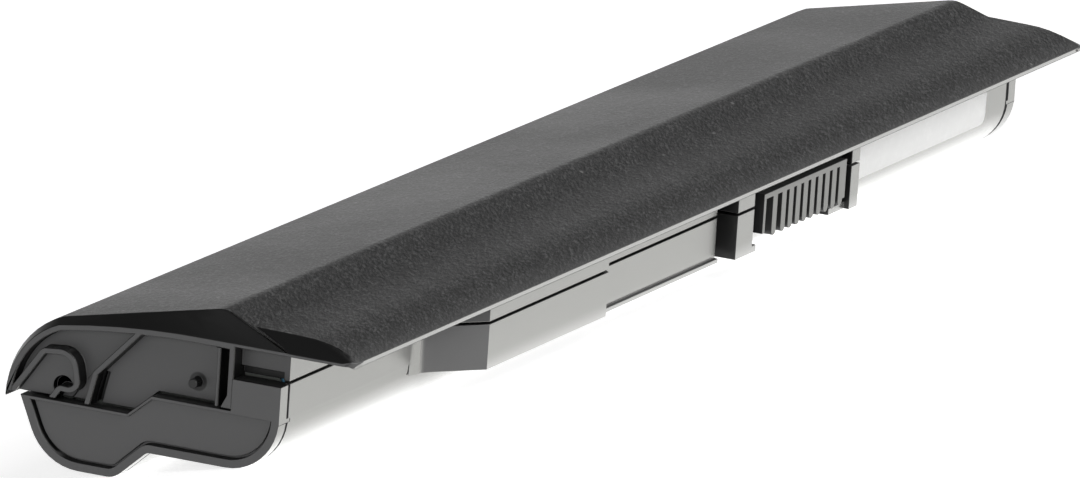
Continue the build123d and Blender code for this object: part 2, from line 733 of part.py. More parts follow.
# Circuit board with the holes of its four pins
with BuildPart() as protection_board:
    board_low = (board_start, board_front, board_top - board_thickness)
    add(box_between(board_low, (board_end, board_back, board_top)))
    with BuildSketch(Plane.XY.offset(board_top)):
        with Locations(*board_post_places):
            Circle(board_pin / 2 + fit_gap)
    extrude(amount=-board_thickness, mode=Mode.SUBTRACT)
protection_board.part.label = "protection_board"
pieces.append(protection_board.part)

# Packages with leads on two sides
for name, (x, y), (length, width, height) in lead_packages:
    with BuildPart() as package:
        with BuildSketch(Plane.XY.offset(board_top + package_lift)):
            with Locations((between_cells + x, y)):
                Rectangle(length, width)
        extrude(amount=height)
        chamfer(package.faces().sort_by(Axis.Z)[-1].edges(), chip_bevel)
        with BuildSketch(Plane.XY.offset(board_top)):
            with Locations((between_cells + x, y)):
                with GridLocations(lead_pitch, width + package_lead, int(length // lead_pitch), 2):
                    Rectangle(lead_width, package_lead)
        extrude(amount=package_lift + height / 2)
    package.part.label = name
    pieces.append(package.part)

# Chips with end caps only, and the small capacitors
for name, (x, y), (length, width, height) in plain_chips:
    with BuildPart() as chip:
        with BuildSketch(Plane.XY.offset(board_top)):
            with Locations((between_cells + x, y)):
                Rectangle(length, width)
        extrude(amount=height)
        chamfer(chip.faces().sort_by(Axis.Z)[-1].edges(), chip_bevel)
    chip.part.label = name
    pieces.append(chip.part)

with BuildPart() as board_capacitors:
    with BuildSketch(Plane.XY.offset(board_top)):
        with Locations(*[(between_cells + x, y) for x, y in capacitor_places]):
            Rectangle(capacitor[0], capacitor[1])
    extrude(amount=capacitor[2])
board_capacitors.part.label = "board_capacitors"
pieces.append(board_capacitors.part)

# Cells: can drawn in at its crimped end, with a raised cap
can_end = cell_length - cell_cap_height
crimp = can_end - cell_crimp_height
for row, (centre_y, centre_z) in enumerate((front_cell, rear_cell)):
    for place, start in enumerate(cell_starts):
        with BuildPart() as cell:
            with BuildSketch(Plane((start, centre_y, centre_z), x_dir=(1, 0, 0), z_dir=(0, -1, 0))):
                with BuildLine():
                    Polyline(
                        (0, 0), (0, cell_radius), (crimp, cell_radius),
                        (can_end, cell_radius - cell_crimp_depth), (can_end, cell_cap_diameter / 2),
                        (cell_length, cell_cap_diameter / 2), (cell_length, 0), close=True,
                    )
                make_face()
            revolve(axis=Axis((start, centre_y, centre_z), (1, 0, 0)))
        cell.part.label = f"cell_{len(cell_starts) * row + place + 1}"
        pieces.append(cell.part)

# Leads lie against the cells, just over the board
negative_place = beside_cell(front_cell, power_lead_diameter / 2, 1)
sense_place = beside_cell(rear_cell, sense_lead_diameter / 2, -1)
thermistor_place = beside_cell(rear_cell, thermistor_diameter / 2, 1, sense_lead_diameter / 2)
near_end = board_start + lead_on_board
far_end = board_end - lead_on_board
leads = [
    ("negative_lead", negative_place, power_lead_diameter, cell_starts[0], near_end),
    ("sense_lead", sense_place, sense_lead_diameter, cell_starts[1], near_end),
    ("positive_lead", negative_place, power_lead_diameter, far_end, cell_starts[2] + cell_length),
]
for name, place, diameter, start, end in leads:
    lead = along_pack(place, diameter, start, end)
    lead.label = name
    pieces.append(lead)

with BuildPart() as thermistor:
    bead_start = bay_cells[0] - thermistor_reach
    bead_end = bead_start + thermistor_length
    add(along_pack(thermistor_place, thermistor_diameter, bead_start, bead_end))
    add(along_pack(thermistor_place, sense_lead_diameter, bead_start + thermistor_length / 2, near_end))
thermistor.part.label = "thermistor"
pieces.append(thermistor.part)

# Nickel links at the ends, between the first two pairs, and across the bay
with BuildPart() as negative_strip:
    add(link_leaf(cell_starts[0] - strip_thickness))
    add(link_tab(cell_starts[0] - strip_thickness, negative_place))
negative_strip.part.label = "negative_strip"
pieces.append(negative_strip.part)

with BuildPart() as series_strip:
    first_leaf = cell_starts[0] + cell_length
    second_leaf = cell_starts[1] - strip_thickness
    add(link_leaf(first_leaf))
    add(link_leaf(second_leaf))
    add(link_tab(second_leaf, sense_place))
    with BuildSketch(Plane.YZ.offset(first_leaf)):
        with Locations(Location((*row_middle, 0), (0, 0, row_angle))):
            with Locations((0, -strip_half_width + strip_thickness / 2)):
                Rectangle(strip_fold_width, strip_thickness)
    extrude(amount=second_leaf - first_leaf)
series_strip.part.label = "series_strip"
pieces.append(series_strip.part)

band_front, band_top = row_middle[0] - band_width / 2, row_middle[1]
band_back = band_front + band_width
cutoff_start = between_cells - cutoff_size[0] / 2
cutoff_end = between_cells + cutoff_size[0] / 2
with BuildPart() as bay_strip_near:
    add(link_leaf(bay_cells[0]))
    band_low = (bay_cells[0], band_front, band_top - strip_thickness)
    add(box_between(band_low, (cutoff_start + cutoff_overlap, band_back, band_top)))
bay_strip_near.part.label = "bay_strip_near"
pieces.append(bay_strip_near.part)

with BuildPart() as bay_strip_far:
    add(link_leaf(bay_cells[1] - strip_thickness))
    band_low = (cutoff_end - cutoff_overlap, band_front, band_top - strip_thickness)
    add(box_between(band_low, (bay_cells[1], band_back, band_top)))
bay_strip_far.part.label = "bay_strip_far"
pieces.append(bay_strip_far.part)

with BuildPart() as thermal_cutoff:
    cutoff_front = band_front + (band_width - cutoff_size[1]) / 2
    cutoff_top = band_top + cutoff_size[2]
    cutoff_back = cutoff_front + cutoff_size[1]
    add(box_between((cutoff_start, cutoff_front, band_top), (cutoff_end, cutoff_back, cutoff_top)))
    chamfer(thermal_cutoff.edges().filter_by(Axis.Z), cutoff_bevel)
thermal_cutoff.part.label = "thermal_cutoff"
pieces.append(thermal_cutoff.part)

with BuildPart() as positive_strip:
    positive_x = cell_starts[2] + cell_length
    add(link_leaf(positive_x))
    add(link_tab(positive_x, negative_place))
positive_strip.part.label = "positive_strip"
pieces.append(positive_strip.part)

# Insulating cards between the end links and the ends of the case
card_places = {
    "end_card_near": cover_end_depth,
    "end_card_far": pack_length - cover_end_depth - card_thickness,
}
for name, x in card_places.items():
    with BuildPart() as end_card:
        with BuildSketch(Plane.YZ.offset(x)):
            with Locations(front_cell, rear_cell):
                Circle(cell_radius - card_margin)
            with Locations(row_middle):
                SlotCenterToCenter(row_gap, card_waist, rotation=row_angle)
        extrude(amount=card_thickness)
    end_card.part.label = name
    pieces.append(end_card.part)

# Foam pads between the cells and the roof
for row, (centre_y, centre_z) in enumerate((front_cell, rear_cell)):
    pad_front = max(centre_y - pad_width / 2, kink_y + fit_gap)
    pad_back = pad_front + pad_width
    pad_top = min(roof_underside(pad_front), roof_underside(pad_back)) - fit_gap
    for place, start in enumerate(cell_starts):
        pad_start = start + (cell_length - pad_length) / 2
        pad_low = (pad_start, pad_front, centre_z + cell_radius + pad_gap)
        pad = box_between(pad_low, (pad_start + pad_length, pad_back, pad_top))
        pad.label = f"cell_pad_{len(cell_starts) * row + place + 1}"
        pieces.append(pad)

# Label on the front wall, beyond the connector
with BuildPart() as side_label:
    with BuildSketch(Plane.YZ.offset(label_start)):
        add(case_region(-label_thickness))
        add(case_region(), mode=Mode.SUBTRACT)
        label_height = label_bottom - label_top
        with Locations((0, -label_bottom)):
            Rectangle(lobe_round, label_height, align=(Align.CENTER, Align.MIN), mode=Mode.INTERSECT)
    extrude(amount=label_length)
    with BuildSketch(Plane.XZ.offset(-beyond)):
        with Locations((label_start + label_length / 2, -(label_top + label_bottom) / 2)):
            RectangleRounded(label_length, label_height, label_corner)
    extrude(amount=2 * beyond, mode=Mode.INTERSECT)
side_label.part.label = "side_label"
pieces.append(side_label.part)

# The pack stands on its two lobes: it is turned until the line that touches both is level, and
# then set down with the middle of its box over the origin
rear_corner_angle = atan2(rear_depth - front_depth, step_run)
rear_corner = (step_y + step_run + step_round * tan(rear_corner_angle / 2), step_round - rear_depth)
lobe_run = rear_corner[0] - lobe_round
lobe_fall = lobe_round - front_depth - rear_corner[1]
rolled_back = asin((lobe_round - step_round) / hypot(lobe_run, lobe_fall))
rest_tilt = degrees(atan2(lobe_fall, lobe_run) - rolled_back)
turned_case = [Rot(rest_tilt, 0, 0) * shell for shell in (top_cover.part, lower_case.part)]
case_box = Compound(children=turned_case).bounding_box()
seat = Pos(-case_box.center().X, -case_box.center().Y, -case_box.min.Z) * Rot(rest_tilt, 0, 0)
for piece in pieces:
    export_step(seat * piece, f"parts/{piece.label}.step")
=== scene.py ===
import json
import math

import bmesh
import bpy
import numpy as np
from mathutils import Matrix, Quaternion, Vector


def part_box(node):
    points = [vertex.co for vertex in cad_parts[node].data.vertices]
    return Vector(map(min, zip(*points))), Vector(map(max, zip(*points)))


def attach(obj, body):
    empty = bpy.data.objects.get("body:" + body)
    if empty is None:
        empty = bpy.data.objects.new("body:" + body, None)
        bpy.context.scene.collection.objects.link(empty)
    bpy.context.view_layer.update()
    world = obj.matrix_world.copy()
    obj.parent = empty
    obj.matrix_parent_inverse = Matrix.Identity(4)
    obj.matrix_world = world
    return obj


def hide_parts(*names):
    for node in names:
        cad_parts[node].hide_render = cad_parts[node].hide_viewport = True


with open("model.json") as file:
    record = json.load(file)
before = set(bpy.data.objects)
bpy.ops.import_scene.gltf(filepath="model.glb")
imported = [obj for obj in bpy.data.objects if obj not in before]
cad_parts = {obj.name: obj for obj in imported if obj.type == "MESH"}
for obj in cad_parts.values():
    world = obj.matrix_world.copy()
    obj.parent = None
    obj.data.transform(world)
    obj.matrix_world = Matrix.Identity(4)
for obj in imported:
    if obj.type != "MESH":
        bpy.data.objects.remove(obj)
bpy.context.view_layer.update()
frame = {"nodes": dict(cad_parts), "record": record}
nodes = frame["nodes"]
print("frame loaded:", len(nodes), "nodes")

# lengths are metres and angles are degrees, unless a note says otherwise

# the camera
viewing = {
    "place": (-1.94734, -0.99189, 0.31295),
    "aim": (-0.00254, 0.00443, 0.01030),
    "roll": -8.369,                   # about the line of sight
    "lens": 466.67, "sensor": 36.0,   # millimetres
    "nearest": 0.1, "furthest": 20.0,
}


def makeCamera(facts):
    # looks from place to aim, then turns about its own line of sight by roll
    data = bpy.data.cameras.new("photoCamera")
    data.lens = facts["lens"]
    data.sensor_width = facts["sensor"]
    data.clip_start = facts["nearest"]
    data.clip_end = facts["furthest"]
    camera = bpy.data.objects.new("photoCamera", data)
    sight = Vector(facts["aim"]) - Vector(facts["place"])
    turn = sight.to_track_quat("-Z", "Y") @ Quaternion((0, 0, 1), math.radians(facts["roll"]))
    camera.location = facts["place"]
    camera.rotation_mode = "QUATERNION"
    camera.rotation_quaternion = turn
    bpy.context.scene.collection.objects.link(camera)
    bpy.context.scene.camera = camera


makeCamera(viewing)
bpy.context.scene.view_settings.view_transform = "Standard"
print("camera made")

# the floor, the white surroundings and the lamps
studio = {
    "floorSize": 6.0,
    "floorColor": (0.82, 0.82, 0.82, 1), "floorRough": 0.7, "floorShine": 0.1,
    "floorGlow": 0.72,                # seen by the camera and in reflections only
    "white": (1, 1, 1, 1),
    "roomSteps": [                    # sine of the height above the horizon, brightness of the room there
        (0.0, 1.15), (0.2, 1.1), (0.31, 0.36), (0.5, 0.13), (1.0, 0.07),
    ],
    "lamps": [                        # place, size, watts
        ((-0.9, -1.9, 1.2), 1.0, 10),
        ((-2.3, -0.7, 0.55), 0.8, 13),
        ((-0.2, -2.3, 0.55), 1.2, 21),
        ((1.2, -1.1, 1.6), 1.4, 10),
    ],
}


def makeRoom(facts):
    # plain white to the camera; to everything else, light at the horizon and darker overhead
    world = bpy.data.worlds.new("whiteRoom")
    bpy.context.scene.world = world
    world.use_nodes = True
    tree = world.node_tree
    tree.nodes.clear()
    out = tree.nodes.new("ShaderNodeOutputWorld")
    room = tree.nodes.new("ShaderNodeBackground")
    place = tree.nodes.new("ShaderNodeTexCoord")
    parts = tree.nodes.new("ShaderNodeSeparateXYZ")
    ramp = tree.nodes.new("ShaderNodeValToRGB")
    tree.links.new(place.outputs["Generated"], parts.inputs[0])
    tree.links.new(parts.outputs["Z"], ramp.inputs["Fac"])
    tree.links.new(ramp.outputs["Color"], room.inputs["Color"])
    elements = ramp.color_ramp.elements   # a new ramp has two already
    for number, (height, light) in enumerate(facts["roomSteps"]):
        element = elements[number] if number < 2 else elements.new(height)
        element.position = height
        element.color = (light, light, light, 1)
    seen = tree.nodes.new("ShaderNodeBackground")
    seen.inputs["Color"].default_value = facts["white"]
    rays = tree.nodes.new("ShaderNodeLightPath")
    mix = tree.nodes.new("ShaderNodeMixShader")
    tree.links.new(rays.outputs["Is Camera Ray"], mix.inputs[0])
    tree.links.new(room.outputs[0], mix.inputs[1])
    tree.links.new(seen.outputs[0], mix.inputs[2])
    tree.links.new(mix.outputs[0], out.inputs["Surface"])


def makeFloor(facts):
    # one square at height zero; it glows by floorGlow where a camera ray or a reflection meets it
    half = facts["floorSize"] / 2
    corners = [(-half, -half, 0), (half, -half, 0), (half, half, 0), (-half, half, 0)]
    mesh = bpy.data.meshes.new("floor")
    mesh.from_pydata(corners, [], [(0, 1, 2, 3)])
    floor = bpy.data.objects.new("floor", mesh)
    bpy.context.scene.collection.objects.link(floor)
    paint = bpy.data.materials.new("floorPaint")
    paint.use_nodes = True
    tree = paint.node_tree
    shader = tree.nodes["Principled BSDF"]
    shader.inputs["Base Color"].default_value = facts["floorColor"]
    shader.inputs["Roughness"].default_value = facts["floorRough"]
    shader.inputs["Specular IOR Level"].default_value = facts["floorShine"]
    shader.inputs["Emission Color"].default_value = facts["white"]
    rays = tree.nodes.new("ShaderNodeLightPath")
    either = tree.nodes.new("ShaderNodeMath")
    either.operation = "MAXIMUM"
    glow = tree.nodes.new("ShaderNodeMath")
    glow.operation = "MULTIPLY"
    glow.inputs[1].default_value = facts["floorGlow"]
    tree.links.new(rays.outputs["Is Camera Ray"], either.inputs[0])
    tree.links.new(rays.outputs["Is Glossy Ray"], either.inputs[1])
    tree.links.new(either.outputs[0], glow.inputs[0])
    tree.links.new(glow.outputs[0], shader.inputs["Emission Strength"])
    mesh.materials.append(paint)


def hangLamps(facts):
    # square soft lamps, each turned to look at the middle of the floor
    for place, size, watts in facts["lamps"]:
        data = bpy.data.lights.new("softbox", "AREA")
        data.size = size
        data.energy = watts
        lamp = bpy.data.objects.new("softbox", data)
        lamp.location = place
        lamp.rotation_mode = "QUATERNION"
        lamp.rotation_quaternion = (-Vector(place)).to_track_quat("-Z", "Y")
        bpy.context.scene.collection.objects.link(lamp)


makeRoom(studio)
makeFloor(studio)
hangLamps(studio)
print("studio made")


# small helpers for node trees
def feed(tree, socket, value):
    # a number or a colour is set on the socket, and another node's output is linked to it
    if isinstance(value, tuple):
        socket.default_value = value + (1,)
    elif isinstance(value, (int, float)):
        socket.default_value = value
    else:
        tree.links.new(value, socket)


def combine(tree, operation, first, second):
    # one operation on two values, each a number or an output
    node = tree.nodes.new("ShaderNodeMath")
    node.operation = operation
    feed(tree, node.inputs[0], first)
    feed(tree, node.inputs[1], second)
    return node.outputs[0]


def product(tree, first, *others):
    # all the values multiplied together
    for value in others:
        first = combine(tree, "MULTIPLY", first, value)
    return first


def unsigned(tree, value):
    # the value without its sign
    node = tree.nodes.new("ShaderNodeMath")
    node.operation = "ABSOLUTE"
    tree.links.new(value, node.inputs[0])
    return node.outputs[0]


def between(tree, value, low, high, toLow=0.0, toHigh=1.0):
    # smooth step: toLow where value is at low, toHigh where it is at high; low may be the larger one
    node = tree.nodes.new("ShaderNodeMapRange")
    node.interpolation_type = "SMOOTHSTEP"
    tree.links.new(value, node.inputs["Value"])
    for title, number in (("From Min", low), ("From Max", high), ("To Min", toLow), ("To Max", toHigh)):
        node.inputs[title].default_value = number
    return node.outputs[0]


def mixColor(tree, factor, first, second):
    # first where factor is 0, second where it is 1
    node = tree.nodes.new("ShaderNodeMix")
    node.data_type = "RGBA"       # such a node has its colours on inputs 6 and 7
    feed(tree, node.inputs[0], factor)
    feed(tree, node.inputs[6], first)
    feed(tree, node.inputs[7], second)
    return node.outputs[2]


def mixNumber(tree, factor, first, second):
    # first where factor is 0, second where it is 1
    node = tree.nodes.new("ShaderNodeMix")
    feed(tree, node.inputs[0], factor)
    feed(tree, node.inputs[2], first)
    feed(tree, node.inputs[3], second)
    return node.outputs[0]


def addBump(tree, shader, height):
    # the surface's normals follow height, in metres
    bump = tree.nodes.new("ShaderNodeBump")
    bump.inputs["Distance"].default_value = 1.0
    tree.links.new(height, bump.inputs["Height"])
    tree.links.new(bump.outputs[0], shader.inputs["Normal"])


def startGroup(name, inputs, outputs):
    # an empty group with its named sockets
    tree = bpy.data.node_groups.new(name, "ShaderNodeTree")
    for title, kind, start in inputs:
        socket = tree.interface.new_socket(name=title, in_out="INPUT", socket_type=kind)
        if start is not None:
            socket.default_value = start
    for title, kind in outputs:
        tree.interface.new_socket(name=title, in_out="OUTPUT", socket_type=kind)
    return tree, tree.nodes.new("NodeGroupInput"), tree.nodes.new("NodeGroupOutput")


# grain that a spark-eroded mould leaves
mouldGrain = {
    "fineness": 1500.0,               # bumps to a metre, where a material gives no value of its own
    "fineDetail": 2.5, "fineRough": 0.65,
    "pitFineness": 0.7, "pitHeight": 0.6,
    "coarseFineness": 0.25, "coarseDetail": 1.5, "coarseHeight": 0.8,
    "flecks": (0.46, 0.66),
    "clumps": (0.4, 0.62, 0.45, 1.0),
}


def makeGrainGroup(facts):
    # height is a fine noise, plus a cell pattern's distance times pitHeight, plus a coarse noise times
    # coarseHeight; speckle is the fine noise's high places times the coarse noise's high places
    tree, start, end = startGroup(
        "mouldGrain",
        [("Place", "NodeSocketVector", None), ("Fineness", "NodeSocketFloat", facts["fineness"])],
        [("Height", "NodeSocketFloat"), ("Speckle", "NodeSocketFloat")],
    )
    place, fineness = start.outputs["Place"], start.outputs["Fineness"]
    fine = tree.nodes.new("ShaderNodeTexNoise")
    fine.inputs["Detail"].default_value = facts["fineDetail"]
    fine.inputs["Roughness"].default_value = facts["fineRough"]
    tree.links.new(place, fine.inputs["Vector"])
    tree.links.new(fineness, fine.inputs["Scale"])
    pits = tree.nodes.new("ShaderNodeTexVoronoi")
    pits.feature = "SMOOTH_F1"
    tree.links.new(place, pits.inputs["Vector"])
    tree.links.new(product(tree, fineness, facts["pitFineness"]), pits.inputs["Scale"])
    coarse = tree.nodes.new("ShaderNodeTexNoise")
    coarse.inputs["Detail"].default_value = facts["coarseDetail"]
    tree.links.new(place, coarse.inputs["Vector"])
    tree.links.new(product(tree, fineness, facts["coarseFineness"]), coarse.inputs["Scale"])
    pitted = product(tree, pits.outputs["Distance"], facts["pitHeight"])
    rolling = product(tree, coarse.outputs[0], facts["coarseHeight"])
    height = combine(tree, "ADD", fine.outputs[0], pitted)
    tree.links.new(combine(tree, "ADD", height, rolling), end.inputs["Height"])
    flecks = between(tree, fine.outputs[0], *facts["flecks"])
    clumps = between(tree, coarse.outputs[0], *facts["clumps"])
    tree.links.new(product(tree, flecks, clumps), end.inputs["Speckle"])
    return tree


# what a handled surface shows
handledSurface = {
    "cloudFineness": 28.0, "cloudDetail": 4.0, "cloud": (0.3, 0.7),
    "speckFineness": 260.0, "speckSize": (0.12, 0.05), "speckRare": (0.86, 0.9),
    "facingUp": (0.3, 0.8),
    "dustTone": (0.16, 0.16, 0.155),
}


def makeFlowGroup(facts):
    # cloud is a broad noise; dust is a small dot in a few cells of a cell pattern, on what faces up
    tree, start, end = startGroup(
        "handledSurface",
        [("Place", "NodeSocketVector", None), ("Facing", "NodeSocketVector", None)],
        [("Cloud", "NodeSocketFloat"), ("Dust", "NodeSocketFloat")],
    )
    broad = tree.nodes.new("ShaderNodeTexNoise")
    broad.inputs["Scale"].default_value = facts["cloudFineness"]
    broad.inputs["Detail"].default_value = facts["cloudDetail"]
    tree.links.new(start.outputs["Place"], broad.inputs["Vector"])
    tree.links.new(between(tree, broad.outputs[0], *facts["cloud"]), end.inputs["Cloud"])
    specks = tree.nodes.new("ShaderNodeTexVoronoi")
    specks.inputs["Scale"].default_value = facts["speckFineness"]
    tree.links.new(start.outputs["Place"], specks.inputs["Vector"])
    dot = between(tree, specks.outputs["Distance"], *facts["speckSize"])
    shade = tree.nodes.new("ShaderNodeSeparateColor")
    tree.links.new(specks.outputs["Color"], shade.inputs[0])
    rare = between(tree, shade.outputs[0], *facts["speckRare"])
    parts = tree.nodes.new("ShaderNodeSeparateXYZ")
    tree.links.new(start.outputs["Facing"], parts.inputs[0])
    up = between(tree, parts.outputs["Z"], *facts["facingUp"])
    tree.links.new(product(tree, dot, rare, up), end.inputs["Dust"])
    return tree


# masks by the way a face looks, each a step of a part of its normal
mouldSides = {
    "under": 1.05,                    # share that a downward look adds to the forward one
    "front": (1.08, 1.16), "ramp": (0.5, 0.72),
    "level": (0.35, 0.15), "upward": (-0.02, 0.12),
    "end": (0.93, 0.99),
}


def makeSidesGroup(facts):
    # forward is -Y plus under times the downward part of Z. Front and Ramp are steps of forward, End is
    # a step of X without its sign, and Top is small X times upward Z
    tree, start, end = startGroup(
        "mouldSides",
        [("Facing", "NodeSocketVector", None)],
        [(title, "NodeSocketFloat") for title in ("Front", "Ramp", "Top", "End")],
    )
    parts = tree.nodes.new("ShaderNodeSeparateXYZ")
    tree.links.new(start.outputs["Facing"], parts.inputs[0])
    x, y, z = parts.outputs
    down = combine(tree, "MAXIMUM", product(tree, z, -1.0), 0.0)
    forward = combine(tree, "ADD", product(tree, y, -1.0), product(tree, down, facts["under"]))
    tree.links.new(between(tree, forward, *facts["front"]), end.inputs["Front"])
    tree.links.new(between(tree, forward, *facts["ramp"]), end.inputs["Ramp"])
    along = unsigned(tree, x)
    top = product(tree, between(tree, along, *facts["level"]), between(tree, z, *facts["upward"]))
    tree.links.new(top, end.inputs["Top"])
    tree.links.new(between(tree, along, *facts["end"]), end.inputs["End"])
    return tree


groups = {
    "grain": makeGrainGroup(mouldGrain),
    "flow": makeFlowGroup(handledSurface),
    "sides": makeSidesGroup(mouldSides),
}
print("shader groups made")


def useGroup(tree, name, values):
    # one of the groups, with its inputs fed
    node = tree.nodes.new("ShaderNodeGroup")
    node.node_tree = groups[name]
    for title, value in values.items():
        feed(tree, node.inputs[title], value)
    return node


def startMaterial(name):
    # a new material with its node tree, its shader, and the place and normal in the object's own axes
    material = bpy.data.materials.new(name)
    material.use_nodes = True
    tree = material.node_tree
    place = tree.nodes.new("ShaderNodeTexCoord")
    return material, tree, tree.nodes["Principled BSDF"], place.outputs["Object"], place.outputs["Normal"]


# moulded plastic of the cover, the tub and the comb, with light and shade painted into its tones by the way
# each face looks and where it lies
cases = {
    # in each, the grain's light tone is a painted glint, the end and ramp tones paint those faces lighter as
    # light falls on them, and the two front tones are a painted sheen going over to a painted reflection of
    # the floor
    "coverPlastic": {
        "plain": (0.005, 0.005, 0.005), "grained": (0.003, 0.003, 0.003), "grainLight": (0.062, 0.062, 0.062),
        "endTone": (0.068, 0.068, 0.069), "rampTone": (0.06, 0.06, 0.06),
        "frontTone": (0.36, 0.36, 0.345), "frontLow": (0.76, 0.76, 0.75),
        "plainRough": 0.34, "grainRough": 0.36, "endRough": 0.42, "frontRough": 0.2, "frontMetal": 0.85,
        "grainFineness": 2300.0, "grainStretch": 2.4, "grainTurn": 27.0,
        "grainHeight": 0.00008, "plainHeight": 0.000002,
    },
    "casePlastic": {
        "plain": (0.012, 0.012, 0.012), "grained": (0.012, 0.012, 0.012), "grainLight": (0.02, 0.02, 0.02),
        "endTone": (0.074, 0.074, 0.075), "rampTone": (0.115, 0.115, 0.115),
        "frontTone": (0.36, 0.36, 0.345), "frontLow": (0.78, 0.78, 0.77),
        "plainRough": 0.3, "grainRough": 0.34, "endRough": 0.4, "frontRough": 0.2, "frontMetal": 0.85,
        "grainFineness": 1800.0, "grainStretch": 1.0, "grainTurn": 0.0,
        "grainHeight": 0.000006, "plainHeight": 0.000003,
    },
    "connectorPlastic": {
        "plain": (0.02, 0.02, 0.02), "grained": (0.05, 0.05, 0.05), "grainLight": (0.08, 0.08, 0.08),
        "endTone": (0.03, 0.03, 0.03), "rampTone": (0.1, 0.1, 0.1),
        "frontTone": (0.24, 0.24, 0.23), "frontLow": (0.3, 0.3, 0.29),
        "plainRough": 0.36, "grainRough": 0.4, "endRough": 0.4, "frontRough": 0.34, "frontMetal": 0.7,
        "grainFineness": 1400.0, "grainStretch": 1.0, "grainTurn": 0.0,
        "grainHeight": 0.000006, "plainHeight": 0.000004,
    },
}
caseTouch = {
    # the front's low tone is a painted reflection of the white floor, lighter towards the bottom
    "lowerFront": (0.0055, 0.0004),   # heights from which to which the front goes over to its low tone
    "cloudRough": 0.05,
    # painted shade, near black, for the slots, the recess and round the pin of the ends
    "deepTone": (0.002, 0.002, 0.002),
}
pinMount = next(mount for mount in frame["record"]["mounts"] if mount["name"] == "end_pin_near")
ends = {
    "halfLength": 0.1355,             # of the pack, to its end planes
    "panelFades": (0.014, 0.011),     # depths inside the end plane, as the four that follow
    "slotStarts": (0.00262, 0.0036), "slotStops": (0.0055, 0.0036),
    "recessStarts": (0.0002, 0.0006), "recessStops": (0.008, 0.007),
    "recessFront": (-0.0145, -0.0135),    # Y, behind the front wall
    "recessFoot": (0.0036, 0.0046),       # Z, above the round of the lobe
    "pinY": pinMount["pos_m"][1], "pinZ": pinMount["pos_m"][2],
    "pinReach": (0.0016, 0.00128),    # from the pin's axis, with the shade at its foot
}


def endMasks(tree, place, sides):
    # depth is how far a point lies inside the nearer end plane. The panel mask is End, faded with depth; the
    # end panels are painted lighter by it.
    # The painted-shade mask is the largest of three: End at the depth of a slot's floor, faces that look
    # forward inside the recess, and all that lies within pinReach of the pin's axis; there shade is painted
    # near black
    parts = tree.nodes.new("ShaderNodeSeparateXYZ")
    tree.links.new(place, parts.inputs[0])
    x, y, z = parts.outputs
    depth = combine(tree, "SUBTRACT", ends["halfLength"], unsigned(tree, x))
    end = sides.outputs["End"]
    slotStart = between(tree, depth, *ends["slotStarts"])
    slots = product(tree, slotStart, between(tree, depth, *ends["slotStops"]), end)
    panel = product(tree, end, between(tree, depth, *ends["panelFades"]))
    recessStop = between(tree, depth, *ends["recessStops"])
    inner = product(
        tree, between(tree, depth, *ends["recessStarts"]), recessStop,
        between(tree, y, *ends["recessFront"]), between(tree, z, *ends["recessFoot"]), sides.outputs["Ramp"],
    )
    acrossY = combine(tree, "SUBTRACT", y, ends["pinY"])
    acrossZ = combine(tree, "SUBTRACT", z, ends["pinZ"])
    squares = combine(tree, "ADD", product(tree, acrossY, acrossY), product(tree, acrossZ, acrossZ))
    reach = combine(tree, "POWER", squares, 0.5)
    pin = product(tree, between(tree, reach, *ends["pinReach"]), recessStop)
    paintedShade = combine(tree, "MAXIMUM", combine(tree, "MAXIMUM", slots, inner), pin)
    return panel, paintedShade, z


def casePaint(name, facts):
    # tones laid over each other, each by its mask: plain; grain on top with painted glints; end panels and
    # ramps painted lighter as light falls on them; front walls with a painted sheen and a painted reflection
    # of the floor, lighter towards the bottom; painted shade in the deep places of the ends; dust. Roughness
    # is laid the same way for top, panels and front, plus a share of cloud, and only the front is metallic
    material, tree, shader, place, facing = startMaterial(name)
    stretch = tree.nodes.new("ShaderNodeMapping")
    stretch.vector_type = "TEXTURE"
    stretch.inputs["Rotation"].default_value = (0, 0, math.radians(facts["grainTurn"]))
    stretch.inputs["Scale"].default_value = (facts["grainStretch"], 1, 1)
    tree.links.new(place, stretch.inputs["Vector"])
    grain = useGroup(tree, "grain", {"Place": stretch.outputs[0], "Fineness": facts["grainFineness"]})
    flow = useGroup(tree, "flow", {"Place": place, "Facing": facing})
    sides = useGroup(tree, "sides", {"Facing": facing})
    panel, paintedShade, height = endMasks(tree, place, sides)
    top = sides.outputs["Top"]
    # the front mask, which carries the painted sheen, stays off the places of painted shade
    front = product(tree, sides.outputs["Front"], combine(tree, "SUBTRACT", 1.0, paintedShade))

    # the light specks on the grain are painted glints of its facets
    glintSpeckled = mixColor(tree, grain.outputs["Speckle"], facts["grained"], facts["grainLight"])
    # the front walls carry a painted sheen: a silver tone that goes lighter towards the bottom as a painted
    # reflection of the floor
    lower = between(tree, height, *caseTouch["lowerFront"])
    wall = mixColor(tree, lower, facts["frontTone"], facts["frontLow"])
    tone = mixColor(tree, top, facts["plain"], glintSpeckled)
    # end panels are painted lighter than the same plastic elsewhere, as light falls on them
    tone = mixColor(tree, panel, tone, facts["endTone"])
    # faces turned partly forward are painted lighter, as light falls on them
    tone = mixColor(tree, sides.outputs["Ramp"], tone, facts["rampTone"])
    tone = mixColor(tree, front, tone, wall)
    # painted shade: the slots, the recess and the pin's foot go near black
    tone = mixColor(tree, paintedShade, tone, caseTouch["deepTone"])
    tone = mixColor(tree, flow.outputs["Dust"], tone, handledSurface["dustTone"])
    tree.links.new(tone, shader.inputs["Base Color"])

    rough = mixNumber(tree, top, facts["plainRough"], facts["grainRough"])
    rough = mixNumber(tree, panel, rough, facts["endRough"])
    rough = mixNumber(tree, front, rough, facts["frontRough"])
    worn = product(tree, flow.outputs["Cloud"], caseTouch["cloudRough"])
    tree.links.new(combine(tree, "ADD", rough, worn), shader.inputs["Roughness"])
    tree.links.new(product(tree, front, facts["frontMetal"]), shader.inputs["Metallic"])

    depth = mixNumber(tree, top, facts["plainHeight"], facts["grainHeight"])
    addBump(tree, shader, product(tree, grain.outputs["Height"], depth))
    return material


